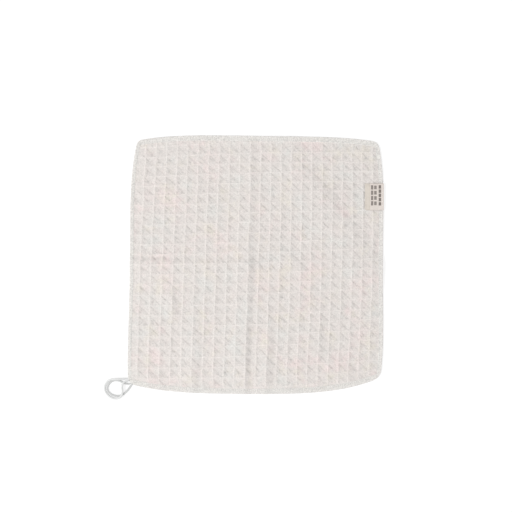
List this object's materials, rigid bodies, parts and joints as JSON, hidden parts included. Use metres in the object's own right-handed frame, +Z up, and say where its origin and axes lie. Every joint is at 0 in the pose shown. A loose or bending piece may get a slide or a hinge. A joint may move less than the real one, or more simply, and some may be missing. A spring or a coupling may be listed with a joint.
{
  "type": "waffle bar towel",
  "caption": "Square waffle-weave towel lying spread out, with an overlocked hem, soft fold creases, a side label and a hanging loop of thin cord at one corner.",
  "frame": {"origin": "middle of the cloth, on the surface that it lies on", "axes": "+X towards the side with the label, +Y towards the far edge, away from the corner with the loop, +Z up out of the upper face"},
  "size_m": [0.3319, 0.3136, 0.0053],
  "materials": {
    "cloth": "matte waffle-woven microfiber, pale warm grey",
    "label": "thin woven satin ribbon, cream",
    "cord": "thin round cord, pale grey"
  },
  "bodies": {
    "root": {"towel_cloth": "cloth", "side_label": "label", "hanging_cord_outer": "cord", "hanging_cord_inner": "cord"}
  },
  "joints": []
}
